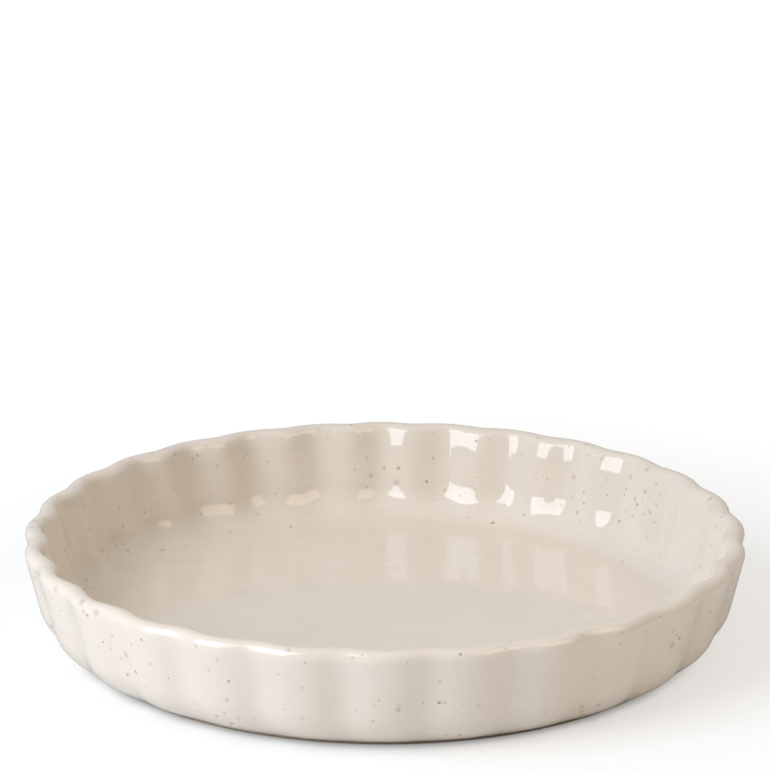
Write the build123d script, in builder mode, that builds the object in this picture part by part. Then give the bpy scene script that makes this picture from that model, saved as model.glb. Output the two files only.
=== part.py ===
from build123d import *

import os
from math import asin, cos, degrees, radians, sin, tan

# A round stoneware quiche dish with a fluted wall, a rounded lip and a glossy glaze.
# It stands on Z = 0 with its axis on Z, and one flute crest faces the front, along -Y.
# Lengths are in millimetres and angles in degrees.

# Overall form
rim_radius = 143.0  # to the widest line of the lip, half way between a crest and a hollow
dish_height = 43.2
foot_radius = 123.0
wall_draft = 13.5  # the outer face of the wall leans out by this angle

# Flutes, measured from crest to hollow
flute_count = 28
flute_depth = 2.4  # outside, at the top of the heel
rim_flute_depth = 1.9  # along the top of the lip
inner_flute_depth = 2.5  # inside, at the top of the floor's fillet
inner_rim_flute_depth = 3.1  # inside, just under the lip
broad_crest_share = 0.12  # makes the outside's crests broader than the hollows between them
inner_fade = 1.25  # above 1, the flutes rise more slowly out of the floor's fillet

# Lip, inner wall and floor
lip_outer_radius = 3.3
lip_land = 0.5  # the level line along the top of the lip
lip_inner_radius = 4.3
flare_lean = 22.0  # the inner face leans out by this angle where the lip's arc starts
flare_radius = 38.0  # of the long curve between the lip's arc and the inner wall
inner_draft = 11.5  # the inner face of the wall leans out by this angle
floor_height = 5.4  # the baking surface above the table
floor_fillet = 16.7

# Heel and foot
heel_height = 17.6  # the outer face starts to curve in towards the foot here
foot_height = 1.2  # the upright edge of the foot ring, bare of glaze
foot_ring_width = 7.0
foot_recess = 1.0  # the glazed underside above the table
foot_edge_chamfer = 0.4

# Glaze
glaze_thickness = 0.4

# How closely the curved faces are followed
steps_per_flute = 6
heel_steps = 5
lip_steps = 5
inner_lip_steps = 5
flare_steps = 3
floor_fillet_steps = 6

full_turn = 360
half_turn = 180
quarter_turn = 90
front = -quarter_turn  # the front of the dish, as an angle from +X

# The outer face of the wall is a straight line that touches the lip's outer arc
draft_cos = cos(radians(wall_draft))
draft_sin = sin(radians(wall_draft))
draft_tan = tan(radians(wall_draft))
lip_centre_radius = rim_radius - lip_outer_radius
lip_centre_height = dish_height - lip_outer_radius
wall_top_radius = lip_centre_radius + lip_outer_radius * draft_cos
wall_top_height = lip_centre_height - lip_outer_radius * draft_sin

# The heel is the arc that touches that line and ends on the foot ring's edge
heel_top_radius = wall_top_radius - (wall_top_height - heel_height) * draft_tan
heel_run = heel_top_radius - foot_radius
heel_rise = heel_height - foot_height
heel_radius = (heel_run**2 + heel_rise**2) / (2 * (heel_run * draft_cos - heel_rise * draft_sin))
heel_centre_radius = heel_top_radius - heel_radius * draft_cos
heel_centre_height = heel_height + heel_radius * draft_sin

# Inside, the lip's smaller arc runs into the flare, a large arc that runs into the straight wall
lip_inner_centre_radius = lip_centre_radius - lip_land
lip_inner_centre_height = dish_height - lip_inner_radius
flare_offset = flare_radius - lip_inner_radius
flare_centre_radius = lip_inner_centre_radius + flare_offset * cos(radians(flare_lean))
flare_centre_height = lip_inner_centre_height - flare_offset * sin(radians(flare_lean))
inner_wall_top_radius = flare_centre_radius - flare_radius * cos(radians(inner_draft))
inner_wall_top_height = flare_centre_height + flare_radius * sin(radians(inner_draft))

# The floor's fillet touches the inner face of the wall and the floor
fillet_centre_height = floor_height + floor_fillet
fillet_centre_radius = (
    inner_wall_top_radius
    - (inner_wall_top_height - fillet_centre_height) * tan(radians(inner_draft))
    - floor_fillet / cos(radians(inner_draft))
)

# The clay's underside is hollowed inside the foot ring, with room for its glaze
recess_radius = foot_radius - foot_ring_width
recess_height = foot_recess + glaze_thickness


def steps_between(first, last, count):
    """Evenly spaced values from first to last, both included."""
    return [first + (last - first) * step / count for step in range(count + 1)]


def rises(count):
    """Shares from 0 to 1 that grow quickly first and level off, as flutes do on their way up."""
    return [sin(radians(turn)) for turn in steps_between(0, quarter_turn, count)]


def arc_stations(centre_radius, centre_height, reach, angles, depths):
    """Radius, height and flute depth at points of an arc, each at an angle above the level line outwards."""
    return [
        (centre_radius + reach * cos(radians(angle)), centre_height + reach * sin(radians(angle)), depth)
        for angle, depth in zip(angles, depths)
    ]


def heel_stations(skin):
    """The heel's stations from foot to wall, set in by a skin."""
    reach = heel_radius - skin
    lowest = -degrees(asin((heel_centre_height - foot_height) / reach))
    angles = steps_between(lowest, -wall_draft, heel_steps)
    depths = [flute_depth * rise for rise in rises(heel_steps)]
    return arc_stations(heel_centre_radius, heel_centre_height, reach, angles, depths)


def foot_stations(skin):
    """The stations of the foot ring's edge, from the table to the heel."""
    radius = heel_stations(skin)[0][0]
    return [(radius - foot_edge_chamfer, 0, 0), (radius, foot_edge_chamfer, 0), (radius, foot_height, 0)]


def lip_stations(skin):
    """The stations of the lip's outer arc, from wall to top."""
    angles = steps_between(-wall_draft, quarter_turn, lip_steps)
    depths = [rim_flute_depth for angle in angles]
    return arc_stations(lip_centre_radius, lip_centre_height, lip_outer_radius - skin, angles, depths)


def floor_fillet_stations(skin):
    """The stations of the inner fillet, from floor to wall."""
    angles = steps_between(-quarter_turn, -inner_draft, floor_fillet_steps)
    depths = [inner_flute_depth * rise**inner_fade for rise in rises(floor_fillet_steps)]
    return arc_stations(fillet_centre_radius, fillet_centre_height, floor_fillet + skin, angles, depths)


def flare_stations(skin):
    """The stations of the flare, from the inner wall to the lip."""
    angles = steps_between(half_turn - inner_draft, half_turn - flare_lean, flare_steps)
    depths = [inner_rim_flute_depth for angle in angles]
    return arc_stations(flare_centre_radius, flare_centre_height, flare_radius - skin, angles, depths)


def inner_lip_stations(skin):
    """The stations of the lip's inner arc, from flare to top."""
    angles = steps_between(half_turn - flare_lean, quarter_turn, inner_lip_steps)
    depths = [
        rim_flute_depth + (inner_rim_flute_depth - rim_flute_depth) * rise
        for rise in reversed(rises(inner_lip_steps))
    ]
    reach = lip_inner_radius - skin
    return arc_stations(lip_inner_centre_radius, lip_inner_centre_height, reach, angles, depths)


def flute(index, radius, height, depth, crest_share):
    """One flute's curve at a level, from the hollow before its crest to the hollow after it."""
    points = []
    for turn in steps_between(-half_turn, half_turn, steps_per_flute):
        wave = cos(radians(turn)) - crest_share * cos(radians(2 * turn))
        angle = radians(front + (full_turn * index + turn) / flute_count)
        reach = radius + depth / 2 * wave
        points.append(Vector(reach * cos(angle), reach * sin(angle), height))
    ends = [point.cross(Vector(0, 0, -1)).normalized() for point in (points[0], points[-1])]
    return Edge.make_spline(points, tangents=ends, parameters=range(len(points)))


def fluted_band(stations, crest_share, mode, straight=False):
    """A band of the wall through a ring of separate flutes at each station."""
    rings = [
        Face(Wire([flute(index, *station, crest_share) for index in range(flute_count)]))
        for station in stations
    ]
    loft(rings, ruled=straight, clean=False, mode=mode)


def dish_outside(skin):
    """Everything inside the outer face above the foot ring: the heel, the straight wall and the lip."""
    heel = heel_stations(skin)
    lip = lip_stations(skin)
    fluted_band(heel, broad_crest_share, Mode.ADD)
    fluted_band([heel[-1], lip[0]], broad_crest_share, Mode.ADD, straight=True)
    fluted_band(lip, broad_crest_share, Mode.ADD)


def dish_hollow(skin):
    """What the inner face leaves out: the fillet, the straight wall, the flare and the lip."""
    fillet = floor_fillet_stations(skin)
    flare = flare_stations(skin)
    fluted_band(fillet, 0, Mode.SUBTRACT)
    fluted_band([fillet[-1], flare[0]], 0, Mode.SUBTRACT, straight=True)
    fluted_band(flare, 0, Mode.SUBTRACT)
    fluted_band(inner_lip_stations(skin), 0, Mode.SUBTRACT)


# The fired clay: a fluted wall on a flat floor, hollowed from above and recessed inside the foot ring
with BuildPart() as stoneware_body:
    dish_outside(glaze_thickness)
    fluted_band(foot_stations(glaze_thickness), broad_crest_share, Mode.ADD, straight=True)
    dish_hollow(glaze_thickness)
    with BuildSketch():
        Circle(recess_radius)
    extrude(amount=recess_height, clean=False, mode=Mode.SUBTRACT)
stoneware_body.part.label = "stoneware_body"

# The glaze over the inside, the lip and the outside, down to the bare edge of the foot ring
with BuildPart() as glaze_coat:
    dish_outside(0)
    dish_hollow(0)
    with BuildSketch():
        Circle(recess_radius)
    extrude(amount=recess_height, clean=False, mode=Mode.SUBTRACT)
    add(stoneware_body.part, clean=False, mode=Mode.SUBTRACT)
glaze_coat.part.label = "glaze_coat"

# The glaze inside the foot ring, which is wiped bare where the dish stands
with BuildPart() as underside_glaze:
    with BuildSketch(Plane.XY.offset(foot_recess)):
        Circle(recess_radius)
    extrude(amount=glaze_thickness)
underside_glaze.part.label = "underside_glaze"

os.makedirs("parts", exist_ok=True)
for piece in (stoneware_body, glaze_coat, underside_glaze):
    export_step(piece.part, f"parts/{piece.part.label}.step")
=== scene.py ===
# %% [markdown]
# # A fluted quiche dish in speckled stoneware
#
# The real dish is one piece of stoneware clay, pressed in a mould, dipped in a cream glaze and fired.
# Its wall is fluted, its lip is rounded and its floor is flat. This lesson builds what the eye sees of
# it: the glassy coat, the clay under it, the specks in the glaze, and a soft studio light.

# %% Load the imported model
from math import asin, atan2, cos, degrees, hypot, pi, radians, sin, tan

import bmesh
import bpy
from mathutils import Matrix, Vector, noise


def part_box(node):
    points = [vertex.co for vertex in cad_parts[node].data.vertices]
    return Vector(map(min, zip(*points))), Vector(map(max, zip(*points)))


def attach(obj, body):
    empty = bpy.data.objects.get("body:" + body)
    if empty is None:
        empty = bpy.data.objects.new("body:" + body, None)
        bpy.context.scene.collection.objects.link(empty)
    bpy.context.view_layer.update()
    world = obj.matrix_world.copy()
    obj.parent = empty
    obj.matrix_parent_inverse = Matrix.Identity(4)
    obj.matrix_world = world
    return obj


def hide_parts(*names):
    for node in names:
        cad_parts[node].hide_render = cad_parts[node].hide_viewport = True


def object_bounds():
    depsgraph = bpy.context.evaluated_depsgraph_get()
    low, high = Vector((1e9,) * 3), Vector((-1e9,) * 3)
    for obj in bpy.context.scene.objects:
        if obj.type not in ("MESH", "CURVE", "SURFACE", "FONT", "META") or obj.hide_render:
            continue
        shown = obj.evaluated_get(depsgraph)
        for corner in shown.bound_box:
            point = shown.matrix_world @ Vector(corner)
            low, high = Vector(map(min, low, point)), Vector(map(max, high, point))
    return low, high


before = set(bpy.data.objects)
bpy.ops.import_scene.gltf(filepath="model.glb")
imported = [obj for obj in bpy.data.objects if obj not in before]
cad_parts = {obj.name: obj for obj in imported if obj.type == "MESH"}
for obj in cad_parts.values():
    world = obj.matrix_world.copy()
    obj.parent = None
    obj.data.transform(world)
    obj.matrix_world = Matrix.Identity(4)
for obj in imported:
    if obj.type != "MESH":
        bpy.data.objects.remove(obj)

cad_low, cad_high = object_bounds()
print("CAD nodes:", sorted(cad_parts))
print("CAD box in metres:", [round(side, 4) for side in cad_high - cad_low])

# %% [markdown]
# ## The dish's sizes
#
# The overall sizes come from the CAD model's own boxes, so the looks can't drift from the solids. The
# smaller ones are the maker's: how far the wall leans, how round the lip is, how deep a flute is. They
# are kept in metres, and MM turns a size in millimetres into metres.

# %% Name the overall sizes
MM = 0.001
full_turn = 2 * pi
half_turn = pi
quarter_turn = pi / 2

rim_flute_depth = 1.9 * MM  # from crest to hollow, along the lip
broad_crest_share = 0.12  # makes the outside's crests broader than the hollows between them
rim_crest_height = rim_flute_depth / 2 * (1 - broad_crest_share)  # of a crest above the lip's even radius

dish_height = cad_high.z
rim_radius = cad_high.x - rim_crest_height
foot_radius = 123.0 * MM  # to the lower edge of the glaze
foot_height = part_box("glaze_coat")[0].z  # of the bare clay below the glaze
foot_edge_chamfer = 0.4 * MM
recess_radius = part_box("underside_glaze")[1].x
recess_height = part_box("underside_glaze")[1].z
glaze_thickness = recess_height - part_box("underside_glaze")[0].z
print("rim radius", round(rim_radius / MM, 2), "mm, height", round(dish_height / MM, 2), "mm")
print("glaze", round(glaze_thickness / MM, 2), "mm thick over a foot", round(foot_height / MM, 2), "mm high")

# %% Name the sizes of the wall, the lip and the floor
wall_draft = radians(13.5)  # the outside leans out by this angle
heel_height = 17.6 * MM  # the outside starts to curve in towards the foot here
lip_outer_radius = 3.3 * MM
lip_land = 0.5 * MM  # the level line along the top of the lip
lip_inner_radius = 4.3 * MM
flare_lean = radians(22.0)  # the inside leans out by this angle where the lip's arc starts
flare_radius = 38.0 * MM
inner_draft = radians(11.5)  # the straight part of the inside leans out by this angle
floor_height = 5.4 * MM
floor_fillet = 16.7 * MM
outer_lean = round(degrees(wall_draft), 1)
inner_lean = round(degrees(inner_draft), 1)
print("the wall leans out", outer_lean, "degrees outside and", inner_lean, "degrees inside")

# %% [markdown]
# ## Where the profile's lines and arcs meet
#
# A potter's template for this dish is one curve: foot, heel, leaning wall, lip, inner wall, fillet and
# floor. The walls are straight and every arc touches its neighbours, so the centres of the arcs follow
# from the sizes above. The lip's inner side is two arcs, a small one over the top and a large one that
# flares slowly out of the wall. That slow flare is what draws the tall highlights under the back rim.

# %% Work out the centres of the outer arcs
lip_centre_radius = rim_radius - lip_outer_radius
lip_centre_height = dish_height - lip_outer_radius
wall_top_radius = lip_centre_radius + lip_outer_radius * cos(wall_draft)
wall_top_height = lip_centre_height - lip_outer_radius * sin(wall_draft)

heel_top_radius = wall_top_radius - (wall_top_height - heel_height) * tan(wall_draft)
heel_run = heel_top_radius - foot_radius
heel_rise = heel_height - foot_height
heel_radius = (heel_run**2 + heel_rise**2) / (2 * (heel_run * cos(wall_draft) - heel_rise * sin(wall_draft)))
heel_centre_radius = heel_top_radius - heel_radius * cos(wall_draft)
heel_centre_height = heel_height + heel_radius * sin(wall_draft)
print("heel radius", round(heel_radius / MM, 1), "mm")

# %% Work out the centres of the inner arcs
lip_inner_centre_radius = lip_centre_radius - lip_land
lip_inner_centre_height = dish_height - lip_inner_radius
flare_offset = flare_radius - lip_inner_radius
flare_centre_radius = lip_inner_centre_radius + flare_offset * cos(flare_lean)
flare_centre_height = lip_inner_centre_height - flare_offset * sin(flare_lean)
inner_wall_top_radius = flare_centre_radius - flare_radius * cos(inner_draft)
inner_wall_top_height = flare_centre_height + flare_radius * sin(inner_draft)

fillet_centre_height = floor_height + floor_fillet
fillet_centre_radius = (
    inner_wall_top_radius
    - (inner_wall_top_height - fillet_centre_height) * tan(inner_draft)
    - floor_fillet / cos(inner_draft)
)
print("the floor is flat out to", round(fillet_centre_radius / MM, 1), "mm from the axis")

# %% [markdown]
# ## Drawing a profile with operators
#
# A profile could be a typed list of points. Here it grows from one vertex instead: extruding the last
# vertex draws a straight stretch, and spinning it about a centre draws an arc. Each vertex also carries
# two numbers in layers that the operators copy along: how deep the flutes will be there, and how much
# broader their crests are than the hollows between them.

# %% Draw straight stretches and arcs
def start_profile(radius, height):
    """A new profile of one vertex, with layers for the flutes."""
    profile = bmesh.new()
    profile.verts.layers.float.new("flute_depth")
    profile.verts.layers.float.new("broad_crests")
    start = profile.verts.new((radius, 0, height))
    start[profile.verts.layers.float["broad_crests"]] = broad_crest_share
    return profile


def tip(profile):
    """The profile's last vertex."""
    profile.verts.ensure_lookup_table()
    return profile.verts[-1]


def draw_line(profile, radius, height, pieces=1, end_depth=None):
    """A straight stretch from the tip, along which the flutes' depth changes evenly."""
    depth = profile.verts.layers.float["flute_depth"]
    start = tip(profile).co.copy()
    start_depth = tip(profile)[depth]
    if end_depth is None:
        end_depth = start_depth
    for piece in range(1, pieces + 1):
        share = piece / pieces
        made = bmesh.ops.extrude_vert_indiv(profile, verts=[tip(profile)])["verts"][0]
        made.co = start.lerp(Vector((radius, 0, height)), share)
        made[depth] = start_depth + (end_depth - start_depth) * share


def draw_arc(profile, centre_radius, centre_height, angle, steps):
    """An arc from the tip, turning it by the angle about a centre. Returns its new vertices in order."""
    count = len(profile.verts)
    bmesh.ops.spin(
        profile,
        geom=[tip(profile)],
        cent=(centre_radius, 0, centre_height),
        axis=(0, -1, 0),
        angle=angle,
        steps=steps,
        use_merge=False,
        use_duplicate=False,
    )
    profile.verts.ensure_lookup_table()
    return profile.verts[count:]


test_profile = start_profile(2 * MM, 0)
quarter_circle = draw_arc(test_profile, 0, 0, quarter_turn, steps=4)
print("a quarter circle ends", round(quarter_circle[-1].co.z / MM, 2), "mm above its centre")
test_profile.free()

# %% [markdown]
# ## The outside, from foot to lip
#
# The clay and the glaze follow nearly the same curve, up to a glaze thickness apart, so one function
# draws both. The flutes run out in the heel, as they do on the mould: an arc's vertices get a depth that
# rises quickly out of the smooth foot and levels off at the wall.

# %% Draw the heel, the outer wall and the lip's outer arc
flute_depth = 2.4 * MM
heel_steps = 12
wall_pieces = 6
lip_steps = 8


def set_depths(profile, verts, start_depth, end_depth):
    """Gives an arc's vertices a flute depth that changes quickly first and levels off."""
    depth = profile.verts.layers.float["flute_depth"]
    for index, vert in enumerate(verts, start=1):
        growth = sin(quarter_turn * index / len(verts))
        vert[depth] = start_depth + (end_depth - start_depth) * growth


def draw_outside(profile, skin):
    """From the foot's edge, where the tip already stands, to the top of the lip, set in by a skin."""
    lowest = asin((heel_centre_height - foot_height) / (heel_radius - skin))
    heel = draw_arc(profile, heel_centre_radius, heel_centre_height, lowest - wall_draft, heel_steps)
    set_depths(profile, heel, 0, flute_depth)
    top_radius = wall_top_radius - skin * cos(wall_draft)
    top_height = wall_top_height + skin * sin(wall_draft)
    draw_line(profile, top_radius, top_height, pieces=wall_pieces, end_depth=rim_flute_depth)
    draw_arc(profile, lip_centre_radius, lip_centre_height, quarter_turn + wall_draft, lip_steps)


glaze_profile = start_profile(foot_radius, foot_height)
draw_outside(glaze_profile, 0)
print("outside:", len(glaze_profile.verts), "vertices up to", round(tip(glaze_profile).co.z / MM, 2), "mm")

# %% [markdown]
# ## The inside, from lip to floor
#
# Inside, the flutes are a little deeper than on the rim, and their crests are no broader than their
# hollows. They fade out in the fillet, so the floor is flat. The fillet is drawn downwards, so its
# depths are set on the same vertices taken in turn from the floor up.

# %% Draw the lip's inner side, the inner wall, the fillet and the floor
inner_rim_flute_depth = 3.1 * MM  # just under the lip
inner_flute_depth = 2.5 * MM  # at the top of the fillet
inner_fade = 1.25  # above 1, the flutes rise more slowly out of the fillet
inner_lip_steps = 10
flare_steps = 5
inner_wall_pieces = 5
fillet_steps = 15
floor_pieces = 8


def draw_inside(profile, skin):
    """From the top of the lip, where the tip already stands, to the middle of the floor."""
    draw_line(profile, lip_inner_centre_radius, dish_height - skin)
    tip(profile)[profile.verts.layers.float["broad_crests"]] = 0
    lip_turn = quarter_turn - flare_lean
    inner_lip = draw_arc(profile, lip_inner_centre_radius, lip_inner_centre_height, lip_turn, inner_lip_steps)
    set_depths(profile, inner_lip, rim_flute_depth, inner_rim_flute_depth)
    draw_arc(profile, flare_centre_radius, flare_centre_height, flare_lean - inner_draft, flare_steps)

    start_radius = fillet_centre_radius + (floor_fillet + skin) * cos(inner_draft)
    start_height = fillet_centre_height - (floor_fillet + skin) * sin(inner_draft)
    draw_line(profile, start_radius, start_height, pieces=inner_wall_pieces, end_depth=inner_flute_depth)
    fillet_turn = inner_draft - quarter_turn
    fillet = draw_arc(profile, fillet_centre_radius, fillet_centre_height, fillet_turn, fillet_steps)
    depth = profile.verts.layers.float["flute_depth"]
    for index, vert in enumerate(reversed(fillet)):
        growth = sin(quarter_turn * index / len(fillet)) ** inner_fade
        vert[depth] = inner_flute_depth * growth
    draw_line(profile, 0, floor_height - skin, pieces=floor_pieces)


draw_inside(glaze_profile, 0)
print("whole profile:", len(glaze_profile.verts), "vertices")

# %% [markdown]
# ## Throwing the profile round
#
# A spin about the axis turns the profile into a smooth, round dish, the way a wheel does. It has the
# same number of steps in each flute, so every flute gets the same vertices. Its first and last profile
# meet, and the many vertices at the middle of the floor become one.

# %% Spin a profile about the dish's axis
flute_count = 28
steps_per_flute = 18
touching = 0.001 * MM  # vertices nearer than this are one


def throw_round(profile):
    """Spins the profile once round, in place, and closes its seam and its poles."""
    bmesh.ops.spin(
        profile,
        geom=profile.verts[:] + profile.edges[:],
        cent=(0, 0, 0),
        axis=(0, 0, 1),
        angle=full_turn,
        steps=flute_count * steps_per_flute,
        use_merge=True,
        use_duplicate=False,
    )
    bmesh.ops.remove_doubles(profile, verts=profile.verts, dist=touching)
    bmesh.ops.dissolve_degenerate(profile, edges=profile.edges, dist=touching)
    bmesh.ops.recalc_face_normals(profile, faces=profile.faces)
    return profile


glaze_shape = throw_round(glaze_profile)
print("thrown:", len(glaze_shape.verts), "vertices,", len(glaze_shape.faces), "faces")

# %% [markdown]
# ## Pressing the flutes
#
# A flute is a wave round the dish. A plain cosine makes crests and hollows alike, and a little of the
# cosine of twice the angle makes the crests broader. Each vertex moves straight out or in, by the depth
# that its layer holds. Hand-finished clay is never perfectly even, so one run of flutes at the back
# right sits about a degree off, and a low, slow swell wavers the wall.

# %% Work out the flutes' wave
slip_angle = radians(-1.2)
slip_start = (radians(-9), radians(3))  # the slip comes in between these angles from the back
slip_end = (radians(65), radians(100))  # and goes out again between these


def ease(value, start, end):
    """A smooth step from 0 at start to 1 at end."""
    share = min(max((value - start) / (end - start), 0), 1)
    return share * share * (3 - 2 * share)


def flute_wave(bearing, broad_crests):
    """The flutes' height at an angle from the back of the dish: about 1 on a crest, -1 in a hollow."""
    slip = slip_angle * ease(bearing, *slip_start) * (1 - ease(bearing, *slip_end))
    phase = flute_count * (bearing - slip - half_turn)
    return cos(phase) - broad_crests * cos(2 * phase)


print("at the front the wave is", round(flute_wave(half_turn, broad_crest_share), 2))

# %% Press the flutes into the wall
swell_height = 0.12 * MM
swell_size = 45 * MM


def press_flutes(shape):
    """Moves every vertex out or in by its share of the flutes and of the swell."""
    depth = shape.verts.layers.float["flute_depth"]
    broad = shape.verts.layers.float["broad_crests"]
    for vert in shape.verts:
        radius = hypot(vert.co.x, vert.co.y)
        if vert[depth] == 0 or radius == 0:
            continue
        wave = flute_wave(atan2(vert.co.x, vert.co.y), vert[broad])
        swell = noise.noise(vert.co / swell_size) * vert[depth] / flute_depth
        move = vert[depth] / 2 * wave + swell_height * swell
        vert.co.x *= 1 + move / radius
        vert.co.y *= 1 + move / radius


press_flutes(glaze_shape)
print("widest point:", round(max(vert.co.x for vert in glaze_shape.verts) / MM, 2), "mm from the axis")

# %% [markdown]
# ## Giving the glaze its thickness
#
# The glaze is a glassy coat about 0.4 mm thick. Solidify makes the pressed surface a closed shell that
# lies on the clay. It replaces the CAD node, which is hidden and stays in the physical model.

# %% Make the glaze coat a closed shell
def finish_piece(name, shape, node):
    """A smooth-shaded object from a bmesh, which stands for a CAD node and rides on the dish."""
    mesh = bpy.data.meshes.new(name)
    shape.to_mesh(mesh)
    shape.free()
    mesh.shade_smooth()
    piece = bpy.data.objects.new(name, mesh)
    bpy.context.scene.collection.objects.link(piece)
    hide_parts(node)
    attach(piece, "root")
    triangles = sum(len(polygon.vertices) - 2 for polygon in mesh.polygons)
    print(name, "has", triangles, "triangles")
    return piece


bmesh.ops.solidify(glaze_shape, geom=glaze_shape.faces[:], thickness=glaze_thickness)
glaze_coat = finish_piece("glazed_surface", glaze_shape, "glaze_coat")

# %% [markdown]
# ## The clay under the glaze
#
# Only the foot ring's bare clay shows, but the whole body is made, so a cut or a chip would show clay.
# Its profile starts in the middle of the underside, goes out over the recess and down round the foot
# ring, and then follows the glaze's profile inside it. At the foot the bare clay stands out almost as
# far as the glaze, so the clay's heel reaches a little into the shell and no gap shows at its edge.

# %% Make the clay body
foot_edge_inset = 0.9 * glaze_thickness  # of the bare clay, from the lower edge of the glaze
foot_edge_radius = foot_radius - foot_edge_inset
clay_profile = start_profile(0, recess_height)
draw_line(clay_profile, recess_radius, recess_height)
draw_line(clay_profile, recess_radius, 0)
draw_line(clay_profile, foot_edge_radius - foot_edge_chamfer, 0)
draw_line(clay_profile, foot_edge_radius, foot_edge_chamfer)
draw_line(clay_profile, foot_edge_radius, foot_height)
draw_outside(clay_profile, glaze_thickness)
draw_inside(clay_profile, glaze_thickness)
clay_shape = throw_round(clay_profile)
press_flutes(clay_shape)
clay_body = finish_piece("stoneware_clay", clay_shape, "stoneware_body")

# %% [markdown]
# ## Colours and a node helper
#
# Colours are written as they look on a screen, in hex, and one function turns them into the linear
# values that the renderer mixes. Another small function adds a shader node with its settings and links.

# %% Turn hex colours to linear
def from_hex(code):
    """A linear RGBA colour from an sRGB hex code."""
    channels = [int(code[start:start + 2], 16) / 255 for start in (1, 3, 5)]
    linear = [c / 12.92 if c <= 0.04045 else ((c + 0.055) / 1.055) ** 2.4 for c in channels]
    return (*linear, 1.0)


print("middle grey on a screen, #808080, is", round(from_hex("#808080")[0], 3), "of white's light")

# %% Add a shader node
def add_node(tree, kind, inputs=None, **settings):
    """Adds a node, sets its settings, then sets or links its inputs, which are named or counted from 0."""
    node = tree.nodes.new(kind)
    for name, value in settings.items():
        setattr(node, name, value)
    for name, value in (inputs or {}).items():
        if isinstance(value, bpy.types.NodeSocket):
            tree.links.new(value, node.inputs[name])
        else:
            node.inputs[name].default_value = value
    return node


def new_material(name):
    """A new material with its node tree and its shader."""
    material = bpy.data.materials.new(name)
    material.use_nodes = True
    return material, material.node_tree, material.node_tree.nodes["Principled BSDF"]


# A Mix node has sockets for numbers, vectors, colours and rotations. These are the ones for colours
mix_first = 6
mix_second = 7
mix_result = 2
glaze, glaze_tree, glaze_shader = new_material("glazed_stoneware")
print("the glaze's material starts with", len(glaze_tree.nodes), "nodes")

# %% [markdown]
# ## The glaze: cream, glassy and a little uneven
#
# The real finish is a tin-white glaze over iron-bearing stoneware, fired to about 1250 degrees. It is a
# thin glass with an IOR of about 1.54, and its gloss is sharp. The dish was dipped, so the glaze is a
# touch thicker here and thinner there, and its colour drifts between two near creams over a few
# centimetres. Its surface isn't flat either: it rolls gently every 12 mm or so, under a very fine
# ripple, and that is what bends the edges of the reflections.

# %% Mix the glaze's cream
place = add_node(glaze_tree, "ShaderNodeTexCoord").outputs["Object"]
thin_glaze = from_hex("#DFD4C6")
thick_glaze = from_hex("#E7DCD0")
cloud_size = 22 * MM
clouds = add_node(
    glaze_tree,
    "ShaderNodeTexNoise",
    {"Vector": place, "Scale": 1 / cloud_size, "Detail": 3.0, "Roughness": 0.55},
)
cream = add_node(
    glaze_tree,
    "ShaderNodeMix",
    {0: clouds.outputs["Fac"], mix_first: thin_glaze, mix_second: thick_glaze},
    data_type="RGBA",
)
print("clouds of", round(cloud_size / MM), "mm in the glaze")

# %% Let the glaze roll gently and make it glassy
roll_size = 12 * MM
roll_height = 0.25 * MM
ripple_size = 3 * MM
ripple_height = 0.012 * MM
glass_roughness = 0.06
glass_ior = 1.54
roll = add_node(
    glaze_tree,
    "ShaderNodeTexNoise",
    {"Vector": place, "Scale": 1 / roll_size, "Detail": 0.0},
)
ripple = add_node(
    glaze_tree,
    "ShaderNodeTexNoise",
    {"Vector": place, "Scale": 1 / ripple_size, "Detail": 1.0},
)
rolling = add_node(
    glaze_tree,
    "ShaderNodeBump",
    {"Strength": 1.0, "Distance": roll_height, "Height": roll.outputs["Fac"]},
)
rippling = add_node(
    glaze_tree,
    "ShaderNodeBump",
    {
        "Strength": 1.0,
        "Distance": ripple_height,
        "Height": ripple.outputs["Fac"],
        "Normal": rolling.outputs[0],
    },
)
glaze_tree.links.new(rippling.outputs[0], glaze_shader.inputs["Normal"])
glaze_shader.inputs["Roughness"].default_value = glass_roughness
glaze_shader.inputs["IOR"].default_value = glass_ior
print("the glaze's slopes are about", round(degrees(roll_height / roll_size), 1), "degrees")

# %% [markdown]
# ## Specks of iron
#
# Grains of iron in the clay melt and bleed up through the glaze. Most are faint tan freckles, and a few
# are dark brown dots with a soft halo. Each grain is a point in space, so a 3-D Voronoi texture places
# them: every cell of it holds one point and one random colour. The share of speck falls off from the
# point, the random colour sets how large each speck is, and most are small. A little noise bends the
# coordinates, so the specks aren't round.

# %% Bend the coordinates a little
crumple_size = 0.9 * MM
crumple_shift = 0.5 * MM
noise_middle = (0.5, 0.5, 0.5)  # the average colour of a noise
crumple = add_node(
    glaze_tree,
    "ShaderNodeTexNoise",
    {"Vector": place, "Scale": 1 / crumple_size, "Detail": 1.0},
)
centred = add_node(
    glaze_tree,
    "ShaderNodeVectorMath",
    {0: crumple.outputs["Color"], 1: noise_middle},
    operation="SUBTRACT",
)
bent_place = add_node(
    glaze_tree,
    "ShaderNodeVectorMath",
    {0: centred.outputs[0], 1: (crumple_shift,) * 3, 2: place},
    operation="MULTIPLY_ADD",
).outputs[0]
print("specks are bent by up to", round(crumple_shift / 2 / MM, 2), "mm")

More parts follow.
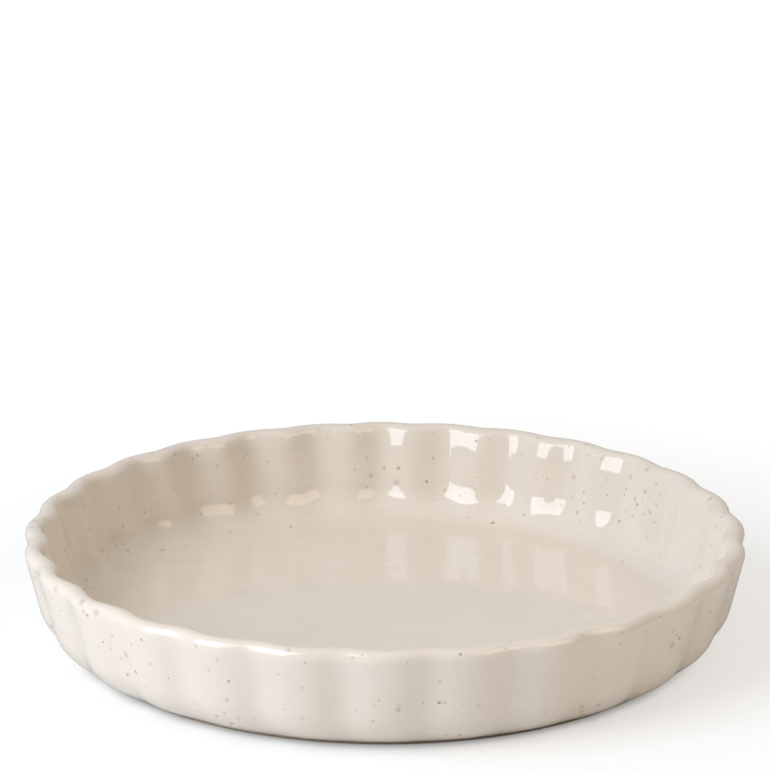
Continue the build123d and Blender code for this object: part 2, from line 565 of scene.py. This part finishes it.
# %% Crowd the specks in places and thin them out on the floor
crowd_size = 28 * MM
usual_noise = (0.35, 0.65)  # a noise seldom leaves this range
small_where_sparse = 0.45  # the specks' size where they are sparse, as a share of their usual size
large_where_crowded = 1.25
small_on_floor = 0.3  # the same on the floor, inside the first of the next two radii
floor_edge = (fillet_centre_radius - 10 * MM, fillet_centre_radius + 6 * MM)
crowds = add_node(glaze_tree, "ShaderNodeTexNoise", {"Vector": place, "Scale": 1 / crowd_size, "Detail": 1.0})
crowding = add_node(
    glaze_tree,
    "ShaderNodeMapRange",
    {
        "Value": crowds.outputs["Fac"],
        "From Min": usual_noise[0],
        "From Max": usual_noise[1],
        "To Min": small_where_sparse,
        "To Max": large_where_crowded,
    },
)
level_place = add_node(
    glaze_tree,
    "ShaderNodeVectorMath",
    {0: place, 1: (1, 1, 0)},
    operation="MULTIPLY",
)
from_axis = add_node(glaze_tree, "ShaderNodeVectorMath", {0: level_place.outputs[0]}, operation="LENGTH")
off_floor = add_node(
    glaze_tree,
    "ShaderNodeMapRange",
    {
        "Value": from_axis.outputs["Value"],
        "From Min": floor_edge[0],
        "From Max": floor_edge[1],
        "To Min": small_on_floor,
    },
)
speck_growth = add_node(
    glaze_tree,
    "ShaderNodeMath",
    {0: crowding.outputs[0], 1: off_floor.outputs[0]},
    operation="MULTIPLY",
).outputs[0]
print("specks crowd together every", round(crowd_size / MM), "mm or so")

# %% Scatter specks of random sizes
freckle_spacing = 5.6 * MM
dark_dot_spacing = 6.8 * MM
rarity = 3.0  # the higher it is, the fewer specks are large


def scatter_specks(spacing, smallest, largest):
    """The share of speck, from 0 on clear glaze to 1 in a speck's middle, for grains a spacing apart."""
    cells = add_node(glaze_tree, "ShaderNodeTexVoronoi", {"Vector": bent_place, "Scale": 1 / spacing})
    chance = add_node(glaze_tree, "ShaderNodeSeparateColor", {"Color": cells.outputs["Color"]})
    mostly_small = add_node(
        glaze_tree,
        "ShaderNodeMath",
        {0: chance.outputs["Red"], 1: rarity},
        operation="POWER",
    )
    usual_radius = add_node(
        glaze_tree,
        "ShaderNodeMapRange",
        {"Value": mostly_small.outputs[0], "To Min": smallest / spacing, "To Max": largest / spacing},
    )
    speck_radius = add_node(
        glaze_tree,
        "ShaderNodeMath",
        {0: usual_radius.outputs[0], 1: speck_growth},
        operation="MULTIPLY",
    )
    speck = add_node(
        glaze_tree,
        "ShaderNodeMapRange",
        {"Value": cells.outputs["Distance"], "From Min": speck_radius.outputs[0], "From Max": 0.0},
    )
    return speck.outputs[0]


freckles = scatter_specks(freckle_spacing, smallest=0.85 * MM, largest=1.8 * MM)
dark_dots = scatter_specks(dark_dot_spacing, smallest=0.45 * MM, largest=1.2 * MM)
print("freckles are", round(freckle_spacing / MM, 1), "mm apart, dark dots", round(dark_dot_spacing / MM, 1))

# %% Colour the specks
tan_iron = from_hex("#C2B5A4")
brown_iron = from_hex("#65523F")
freckled = add_node(
    glaze_tree,
    "ShaderNodeMix",
    {0: freckles, mix_first: cream.outputs[mix_result], mix_second: tan_iron},
    data_type="RGBA",
)
speckled = add_node(
    glaze_tree,
    "ShaderNodeMix",
    {0: dark_dots, mix_first: freckled.outputs[mix_result], mix_second: brown_iron},
    data_type="RGBA",
)
glaze_tree.links.new(speckled.outputs[mix_result], glaze_shader.inputs["Base Color"])
glaze_coat.data.materials.append(glaze)

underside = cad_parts["underside_glaze"]
underside.data.materials.clear()
underside.data.materials.append(glaze)
print("glazed pieces:", glaze_coat.name, "and", underside.name)

# %% [markdown]
# ## Bare fired clay
#
# The foot ring is wiped before firing, so the dish doesn't stick to the kiln shelf. Bare stoneware is
# matte and warm grey-brown, with sand grains that catch on a fingernail. Two noises give it its patches
# and its grain, and the grain also drives the bump.

# %% Make the clay's material
clay, clay_tree, clay_shader = new_material("bare_stoneware")
clay_place = add_node(clay_tree, "ShaderNodeTexCoord").outputs["Object"]
dark_clay = from_hex("#A9957B")
light_clay = from_hex("#C4B096")
sand = from_hex("#6F5B45")
patch_size = 9 * MM
grain_size = 0.7 * MM
grain_height = 0.06 * MM
sand_starts = 0.62  # where the grain's noise is higher than this, sand shows
sand_is_full = 0.75
full_sand = 0.5  # the most of its colour that a grain of sand shows
clay_roughness = 0.82
clay_ior = 1.5
patches = add_node(
    clay_tree,
    "ShaderNodeTexNoise",
    {"Vector": clay_place, "Scale": 1 / patch_size, "Detail": 2.0},
)
grain = add_node(
    clay_tree,
    "ShaderNodeTexNoise",
    {"Vector": clay_place, "Scale": 1 / grain_size, "Detail": 2.0},
)
warmth = add_node(
    clay_tree,
    "ShaderNodeMix",
    {0: patches.outputs["Fac"], mix_first: dark_clay, mix_second: light_clay},
    data_type="RGBA",
)
sandy = add_node(
    clay_tree,
    "ShaderNodeMapRange",
    {
        "Value": grain.outputs["Fac"],
        "From Min": sand_starts,
        "From Max": sand_is_full,
        "To Max": full_sand,
    },
)
sanded = add_node(
    clay_tree,
    "ShaderNodeMix",
    {0: sandy.outputs[0], mix_first: warmth.outputs[mix_result], mix_second: sand},
    data_type="RGBA",
)
rough = add_node(
    clay_tree,
    "ShaderNodeBump",
    {"Strength": 1.0, "Distance": grain_height, "Height": grain.outputs["Fac"]},
)
clay_tree.links.new(sanded.outputs[mix_result], clay_shader.inputs["Base Color"])
clay_tree.links.new(rough.outputs[0], clay_shader.inputs["Normal"])
clay_shader.inputs["Roughness"].default_value = clay_roughness
clay_shader.inputs["IOR"].default_value = clay_ior
clay_body.data.materials.append(clay)
print("clay grains of", round(grain_size / MM, 1), "mm")

# %% [markdown]
# ## A white table
#
# The dish stands on a plain white table that runs out past the edges of the picture. Seen by the camera
# it is partly lit and partly glowing, which makes it white. The glow is weaker near the dish and ends at
# its foot: that is a painted shadow round the dish and a painted dark line where it stands, on top of
# the real shadow in the lit part. The glaze reflects only a small share of the glow, because a full one
# would brighten the shaded wall from below. To light that bounces up, the table is plain white paint.

# %% Make the table top
table_size = 40.0  # metres
table_shape = bmesh.new()
bmesh.ops.create_grid(table_shape, x_segments=1, y_segments=1, size=table_size / 2)
table_mesh = bpy.data.meshes.new("table")
table_shape.to_mesh(table_mesh)
table_shape.free()
table = bpy.data.objects.new("table", table_mesh)
bpy.context.scene.collection.objects.link(table)
print("table top", table_size, "m across")

# %% Paint the table
lit_share = 0.5  # of the light on the table that the camera sees
# Near the dish the glow is weaker, which paints a shadow round it
near_glow = 0.5  # below the rim, outside the foot
far_glow = 0.82
reflected_glow = 0.15  # the share of the glow that the glaze reflects
# The painted shadow round the dish fades out at this radius
painted_shadow_reach = 550 * MM  # from the dish's axis to where the glow is full
# The painted dark line where the dish stands is this wide on each side of the foot's edge
painted_contact_shadow_width = 6 * MM  # the glow rises from nothing across this width on each side of the foot's edge
paint_white = from_hex("#F6F7F9")

paint = bpy.data.materials.new("white_table_paint")
paint.use_nodes = True
paint_tree = paint.node_tree
paint_tree.nodes.clear()
ray = add_node(paint_tree, "ShaderNodeLightPath")
seen = add_node(
    paint_tree,
    "ShaderNodeMath",
    {0: ray.outputs["Is Camera Ray"], 1: ray.outputs["Is Glossy Ray"]},
    operation="MAXIMUM",
)
seen_or_through = add_node(
    paint_tree,
    "ShaderNodeMath",
    {0: seen.outputs[0], 1: ray.outputs["Is Transmission Ray"]},
    operation="MAXIMUM",
)
table_place = add_node(paint_tree, "ShaderNodeTexCoord").outputs["Object"]
from_dish = add_node(paint_tree, "ShaderNodeVectorMath", {0: table_place}, operation="LENGTH")
# Painted shadow round the dish: the glow grows weaker from far out towards the rim
glow_with_painted_shade = add_node(
    paint_tree,
    "ShaderNodeMapRange",
    {
        "Value": from_dish.outputs["Value"],
        "From Min": rim_radius,
        "From Max": painted_shadow_reach,
        "To Min": near_glow,
        "To Max": far_glow,
    },
    interpolation_type="SMOOTHSTEP",
)
# Painted contact shadow: no glow under the foot, rising to full just outside it
outside_painted_contact_shadow = add_node(
    paint_tree,
    "ShaderNodeMapRange",
    {
        "Value": from_dish.outputs["Value"],
        "From Min": foot_radius - painted_contact_shadow_width,
        "From Max": foot_radius + painted_contact_shadow_width,
    },
    interpolation_type="SMOOTHSTEP",
)
glow_on_table = add_node(
    paint_tree,
    "ShaderNodeMath",
    {0: glow_with_painted_shade.outputs[0], 1: outside_painted_contact_shadow.outputs[0]},
    operation="MULTIPLY",
)
share_of_glow = add_node(
    paint_tree,
    "ShaderNodeMapRange",
    {"Value": ray.outputs["Is Camera Ray"], "To Min": reflected_glow, "To Max": 1.0},
)
glow_strength = add_node(
    paint_tree,
    "ShaderNodeMath",
    {0: glow_on_table.outputs[0], 1: share_of_glow.outputs[0]},
    operation="MULTIPLY",
)
matte = add_node(paint_tree, "ShaderNodeBsdfDiffuse", {"Color": (lit_share, lit_share, lit_share, 1)})
glow = add_node(
    paint_tree,
    "ShaderNodeEmission",
    {"Color": (1, 1, 1, 1), "Strength": glow_strength.outputs[0]},
)
white = add_node(paint_tree, "ShaderNodeAddShader", {0: matte.outputs[0], 1: glow.outputs[0]})
bounce = add_node(paint_tree, "ShaderNodeBsdfDiffuse", {"Color": paint_white})
either = add_node(
    paint_tree,
    "ShaderNodeMixShader",
    {0: seen_or_through.outputs[0], 1: bounce.outputs[0], 2: white.outputs[0]},
)
add_node(paint_tree, "ShaderNodeOutputMaterial", {"Surface": either.outputs[0]})
table_mesh.materials.append(paint)
print("the table glows from", near_glow, "near the dish to", far_glow, "further out")

# %% [markdown]
# ## Soft studio light
#
# The highlights say where the lamps stood. A tall softbox at the left front draws the bright patches
# along the back wall, twice over: under the rim and in the fillet. A dimmer white card at the right
# front draws the fainter ones further left. The rest of the room is a soft fill, brighter above the
# dish and behind it. Where the camera looks past the table, the room is plain white.

# %% Fill the room with soft light
dim_fill = 0.16
bright_fill = 0.56
bright_side = Vector((-0.25, 1, 1)).normalized()  # above the dish and behind it, a little to the left
fill_starts = -0.1  # how far a direction points to the bright side, from -1 to 1, where the fill grows
fill_is_full = 0.6
world = bpy.data.worlds.new("studio_room")
bpy.context.scene.world = world
world.use_nodes = True
room_tree = world.node_tree
room_tree.nodes.clear()
direction = add_node(room_tree, "ShaderNodeTexCoord").outputs["Generated"]
towards = add_node(room_tree, "ShaderNodeVectorMath", {0: direction, 1: bright_side}, operation="DOT_PRODUCT")
fill = add_node(
    room_tree,
    "ShaderNodeMapRange",
    {
        "Value": towards.outputs["Value"],
        "From Min": fill_starts,
        "From Max": fill_is_full,
        "To Min": dim_fill,
        "To Max": bright_fill,
    },
    interpolation_type="SMOOTHSTEP",
)
looked_at = add_node(room_tree, "ShaderNodeLightPath").outputs["Is Camera Ray"]
room_strength = add_node(
    room_tree,
    "ShaderNodeMath",
    {0: fill.outputs[0], 1: looked_at},
    operation="MAXIMUM",
)
room = add_node(
    room_tree,
    "ShaderNodeBackground",
    {"Color": (1, 1, 1, 1), "Strength": room_strength.outputs[0]},
)
add_node(room_tree, "ShaderNodeOutputWorld", {"Surface": room.outputs[0]})
print("fill from", dim_fill, "to", bright_fill)

# %% Set up the softbox and the card
def hang_light(name, bearing, elevation, distance, width, height, brightness, colour):
    """A rectangular light that faces the dish, at a bearing right of the front. Brightness 1 is white."""
    light = bpy.data.lights.new(name, "AREA")
    light.shape = "RECTANGLE"
    light.size = width
    light.size_y = height
    light.color = from_hex(colour)[:3]
    light.energy = pi * width * height * brightness
    lamp = bpy.data.objects.new(name, light)
    bpy.context.scene.collection.objects.link(lamp)
    level = distance * cos(elevation)
    lamp.location = (level * sin(bearing), -level * cos(bearing), distance * sin(elevation))
    lamp.rotation_euler = (-lamp.location).to_track_quat("-Z", "Y").to_euler()
    print(name, "at", round(light.energy, 1), "W")


hang_light(
    "key_softbox",
    bearing=radians(-54.2),
    elevation=radians(32.5),
    distance=1.22,
    width=0.735,
    height=1.08,
    brightness=5.4,
    colour="#EDF5FF",
)
hang_light(
    "white_card",
    bearing=radians(56.3),
    elevation=radians(41),
    distance=1.40,
    width=0.81,
    height=0.75,
    brightness=2.5,
    colour="#FFEACA",
)

# %% [markdown]
# ## The camera
#
# The outlines of the rim and the foot give the camera: their ellipses are as flat as a view from about
# 21 degrees above the table makes them, and the far rim is smaller than the near one by as much as a
# distance of 1.15 m does. The camera aims a little above the dish, so the dish sits low in the frame.

# %% Place the camera
camera_distance = 1.1496  # metres, from the middle of the foot
camera_elevation = radians(20.78)
camera_tilt = radians(4.83)  # how far above the middle of the foot it aims
focal_px = 2833  # the focal length in pixels of the frame
frame_px = 770
sensor_width = 36  # in mm, as the lens is
camera_data = bpy.data.cameras.new("camera")
camera = bpy.data.objects.new("camera", camera_data)
bpy.context.scene.collection.objects.link(camera)
camera_data.sensor_width = sensor_width
camera_data.lens = focal_px * sensor_width / frame_px
camera.location = (0, -camera_distance * cos(camera_elevation), camera_distance * sin(camera_elevation))
camera.rotation_euler = (quarter_turn - camera_elevation + camera_tilt, 0, 0)
bpy.context.scene.camera = camera
bpy.context.scene.view_settings.view_transform = "Standard"
print("lens", round(camera_data.lens, 1), "mm")

# %% [markdown]
# ## Bring the scene up to date
#
# The looks must not change the dish's size; this last step only updates the scene.

# %% Update the scene
bpy.context.view_layer.update()
